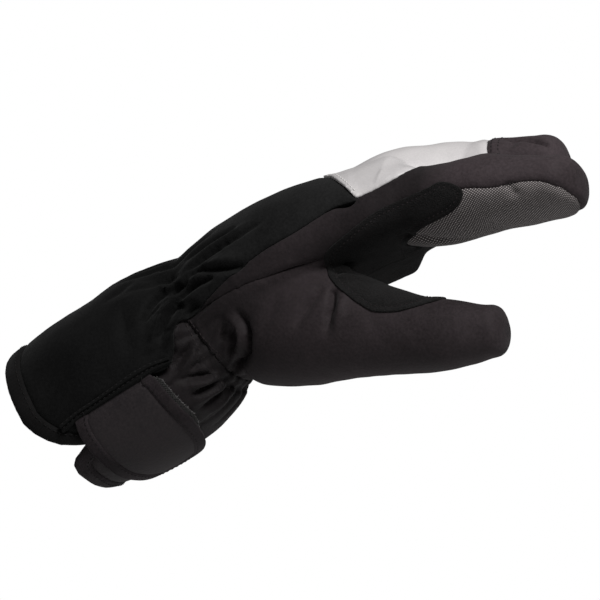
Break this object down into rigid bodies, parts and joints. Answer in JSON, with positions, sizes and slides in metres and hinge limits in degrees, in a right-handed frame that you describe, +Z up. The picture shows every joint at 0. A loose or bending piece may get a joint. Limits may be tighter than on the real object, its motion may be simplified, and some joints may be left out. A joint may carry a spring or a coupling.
{
  "type": "lobster claw mitt",
  "caption": "Padded winter mitt for a left hand: a thumb, a shared pocket for two fingers beside another, gathered wrist, long cuff with a side slit and a closing tab.",
  "frame": {"origin": "middle of the wrist, where the elastic draws the mitt in round the wrist that holds it", "axes": "+X towards the fingertips, +Z up over the back of the hand, the thumb on the -Y side; the cuff slopes down behind the wrist"},
  "size_m": [0.2993, 0.1106, 0.1764],
  "materials": {
    "softshell": "matt woven softshell, black with a warm cast",
    "suede": "napped synthetic suede, black",
    "reflective": "smooth satin, pale grey",
    "grip_mesh": "open-textured mesh, dark grey",
    "binding": "stretch binding tape, black",
    "hook": "hook tape, black"
  },
  "bodies": {
    "root": {"back_panel": "softshell", "cuff_back_panel": "softshell", "reflective_panel": "reflective", "index_side_panel": "softshell", "ring_little_back": "softshell", "index_middle_grip": "grip_mesh", "ring_little_grip": "grip_mesh", "thumb": "softshell", "palm_panel": "suede", "crotch_patch": "suede", "cuff_palm_panel": "softshell", "cuff_hem": "binding", "cuff_palm_hem": "binding", "slit_facing": "softshell", "closure_tab": "softshell", "tab_binding": "binding", "hook_pad": "hook"}
  },
  "joints": []
}
